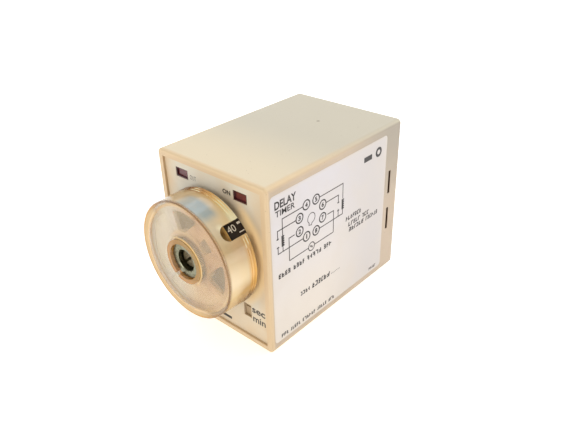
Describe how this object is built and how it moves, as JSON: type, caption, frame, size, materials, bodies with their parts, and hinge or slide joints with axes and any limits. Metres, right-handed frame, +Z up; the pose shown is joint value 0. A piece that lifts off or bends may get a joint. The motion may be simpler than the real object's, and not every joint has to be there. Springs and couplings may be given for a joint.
{
  "type": "plug-in timer relay with a setting dial",
  "caption": "Plug-in analog timer: a box case with a clear setting dial, two indicator windows and a unit selector in front, and a keyed round pin plug behind.",
  "frame": {"origin": "on the surface that the timer stands on, under the middle of the whole object's box, dial and plug included", "axes": "+Z up, +Y from the dial to the plug, +X to the right as seen from the front"},
  "size_m": [0.048, 0.0998, 0.0605],
  "materials": {
    "case_plastic": "fine satin moulding, warm light grey",
    "plate_plastic": "matt, slightly darker than the case",
    "label_film": "printed satin film",
    "red_lens": "deep red, polished",
    "red_led": "red diffused epoxy, tinned leads",
    "black_plastic": "black moulding",
    "drum_plastic": "dark olive moulding with a pale front edge",
    "scale_print": "black film with white figures",
    "clear_cover": "clear moulding, polished",
    "wheel_plastic": "pale translucent moulding with an amber rim",
    "turned_aluminium": "turned, satin",
    "shaft_steel": "turned, dull",
    "plated_steel": "zinc plated",
    "carbon_track": "carbon on a phenolic ring",
    "wiper_plastic": "white moulding with bright fingers",
    "tinned_metal": "bright tin",
    "selector_plastic": "ivory moulding",
    "circuit_board": "brown laminate, copper side lacquered",
    "plug_plastic": "black phenolic moulding",
    "plug_brass": "nickel plated",
    "lamination": "varnished laminations",
    "bobbin_plastic": "white nylon",
    "winding_tape": "yellow polyester tape",
    "copper_wire": "enamelled copper",
    "relay_window": "clear cover",
    "soft_iron": "plated soft iron",
    "contact_metal": "spring bronze with silver buttons",
    "spring_steel": "spring steel",
    "capacitor_sleeve": "dark blue sleeve, bare aluminium top",
    "film_coat": "brown dipped coat",
    "resistor_coat": "beige coat with colour bands",
    "diode_body": "black with a pale band"
  },
  "bodies": {
    "case": {"base_board": "circuit_board", "case_shell": "case_plastic", "diodes": "diode_body", "drive_transistor": "black_plastic", "film_capacitor": "film_coat", "filter_capacitors": "capacitor_sleeve", "front_board": "circuit_board", "front_plate": "plate_plastic", "ic_leads": "tinned_metal", "led_spacers": "black_plastic", "plug_base": "plug_plastic", "plug_pin_1": "plug_brass", "plug_pin_2": "plug_brass", "plug_pin_3": "plug_brass", "plug_pin_4": "plug_brass", "plug_pin_5": "plug_brass", "plug_pin_6": "plug_brass", "plug_pin_7": "plug_brass", "plug_pin_8": "plug_brass", "pot_bushing": "plated_steel", "pot_housing": "plated_steel", "pot_nut": "plated_steel", "pot_terminals": "tinned_metal", "pot_track": "carbon_track", "pot_washer": "plated_steel", "power_board": "circuit_board", "power_board_pins": "tinned_metal", "power_led": "red_led", "power_lens": "red_lens", "relay_base": "black_plastic", "relay_bobbin": "bobbin_plastic", "relay_core": "soft_iron", "relay_cover": "relay_window", "relay_fixed_contacts": "contact_metal", "relay_hinge_spring": "spring_steel", "relay_winding": "copper_wire", "relay_yoke": "soft_iron", "resistors": "resistor_coat", "scale_band": "scale_print", "scale_drum": "drum_plastic", "selector_body": "black_plastic", "side_label": "label_film", "timer_ic": "black_plastic", "timing_board": "circuit_board", "timing_board_leads": "tinned_metal", "timing_led": "red_led", "timing_lens": "red_lens", "transformer_bobbin": "bobbin_plastic", "transformer_core": "lamination", "transformer_winding": "winding_tape"},
    "dial": {"dial_cover": "clear_cover", "dial_wheel": "wheel_plastic", "dial_bush": "turned_aluminium", "pot_shaft": "shaft_steel", "pot_wiper": "wiper_plastic"},
    "selector": {"selector_slider": "selector_plastic", "selector_contact": "contact_metal"},
    "armature": {"relay_armature": "soft_iron", "relay_contact_block": "black_plastic", "relay_moving_contacts": "contact_metal"}
  },
  "joints": [
    {"name": "dial_turn", "type": "hinge", "parent": "case", "child": "dial", "pos_m": [0, 0, 0.033], "axis": [0, 1, 0], "range_deg": [-184.75, 85.25]},
    {"name": "selector_slide", "type": "slide", "parent": "case", "child": "selector", "axis": [0, 0, -1], "range_m": [0, 0.002]},
    {"name": "armature_pull", "type": "hinge", "parent": "case", "child": "armature", "pos_m": [0.0029, 0.00335, 0.044], "axis": [0, 0, 1], "range_deg": [0, 3.5], "stiffness_Nm_per_rad": 0.02, "springref_deg": -8.59}
  ]
}
